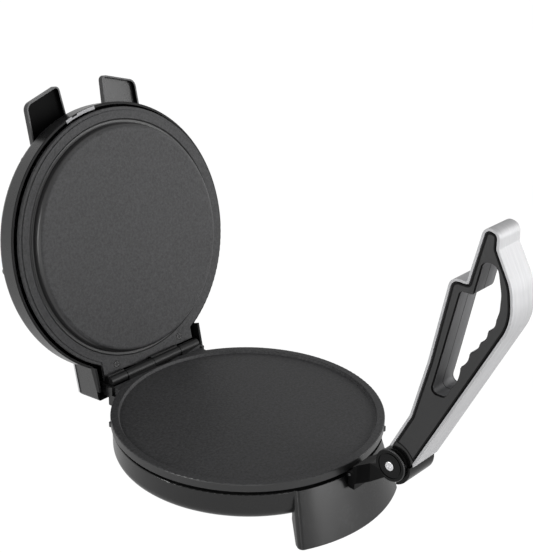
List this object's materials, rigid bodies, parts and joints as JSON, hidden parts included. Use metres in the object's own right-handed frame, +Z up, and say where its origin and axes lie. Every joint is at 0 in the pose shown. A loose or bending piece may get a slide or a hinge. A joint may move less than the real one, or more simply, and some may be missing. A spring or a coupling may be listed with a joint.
{
  "type": "electric roti maker",
  "caption": "Electric flatbread press standing open: round non-stick plates, hinged lid with ears and control box, flared front leg, folding loop handle on a swinging link.",
  "frame": {"origin": "on the table, under the middle of the open appliance's bounding box; the plates' axis stands 23.8 mm behind it", "axes": "+Z up from the table, +Y towards the hinge and the lid, -Y towards the handle, X across along the hinge pin"},
  "size_m": [0.2814, 0.5369, 0.3549],
  "materials": {
    "black_shell": "moulded black plastic, satin gloss",
    "nonstick_plate": "die cast, dark non-stick coating",
    "heater_steel": "tubular heater sheath",
    "shield_aluminium": "thin pressed sheet",
    "ceramic_block": "heat resistant terminal block",
    "thermostat_body": "moulded thermostat",
    "screw_steel": "zinc plated",
    "black_screw": "blackened",
    "pad_rubber": "matt rubber",
    "gland_rubber": "matt rubber",
    "cover_steel": "brushed",
    "panel_satin": "satin",
    "trim_chrome": "bright strip",
    "green_lens": "clear green lens",
    "red_lens": "clear red lens",
    "bulb_glass": "small indicator bulb",
    "knob_black": "fine satin",
    "dot_paint": "painted",
    "handle_black": "moulded black plastic",
    "cheek_black": "satin black plastic",
    "silver_band": "satin silver"
  },
  "bodies": {
    "base": {"lower_housing": "black_shell", "lower_plate": "nonstick_plate", "lower_element": "heater_steel", "lower_reflector": "shield_aluminium", "lower_terminals": "ceramic_block", "housing_screws": "screw_steel", "rear_foot": "black_shell", "foot_screws": "screw_steel", "rear_pads": "pad_rubber", "front_pads": "pad_rubber", "hinge_pin": "black_screw", "link_pin": "screw_steel", "cord_gland": "gland_rubber"},
    "lid": {"upper_plate": "nonstick_plate", "upper_element": "heater_steel", "upper_reflector": "shield_aluminium", "lid_shell": "black_shell", "steel_cover": "cover_steel", "control_panel": "panel_satin", "panel_trims": "trim_chrome", "ready_lamp": "green_lens", "power_lamp": "red_lens", "lamp_bulbs": "bulb_glass", "thermostat": "thermostat_body", "tongue_screws": "black_screw"},
    "knob": {"control_knob": "knob_black", "knob_shaft": "screw_steel", "knob_dot": "dot_paint"},
    "link": {"link_bracket": "black_shell", "barrel_bolt": "screw_steel"},
    "handle": {"handle_core_left": "handle_black", "handle_core_right": "handle_black", "handle_cheek_left": "cheek_black", "handle_cheek_right": "cheek_black", "handle_band": "silver_band", "handle_lip": "handle_black"}
  },
  "joints": [
    {"name": "lid_hinge", "type": "hinge", "parent": "base", "child": "lid", "pos_m": [0, 0.1606, 0.0683], "axis": [1, 0, 0], "range_deg": [0, 102.6]},
    {"name": "knob_turn", "type": "hinge", "parent": "lid", "child": "knob", "pos_m": [0.0015, 0.21867, 0.10942], "axis": [0, 0.9759, -0.2181], "range_deg": [0, 270]},
    {"name": "link_swing", "type": "hinge", "parent": "base", "child": "link", "pos_m": [0, -0.1164, 0.056], "axis": [-1, 0, 0], "range_deg": [0, 6]},
    {"name": "handle_fold", "type": "hinge", "parent": "link", "child": "handle", "pos_m": [0, -0.1672, 0.092], "axis": [-1, 0, 0], "range_deg": [0, 80]}
  ]
}
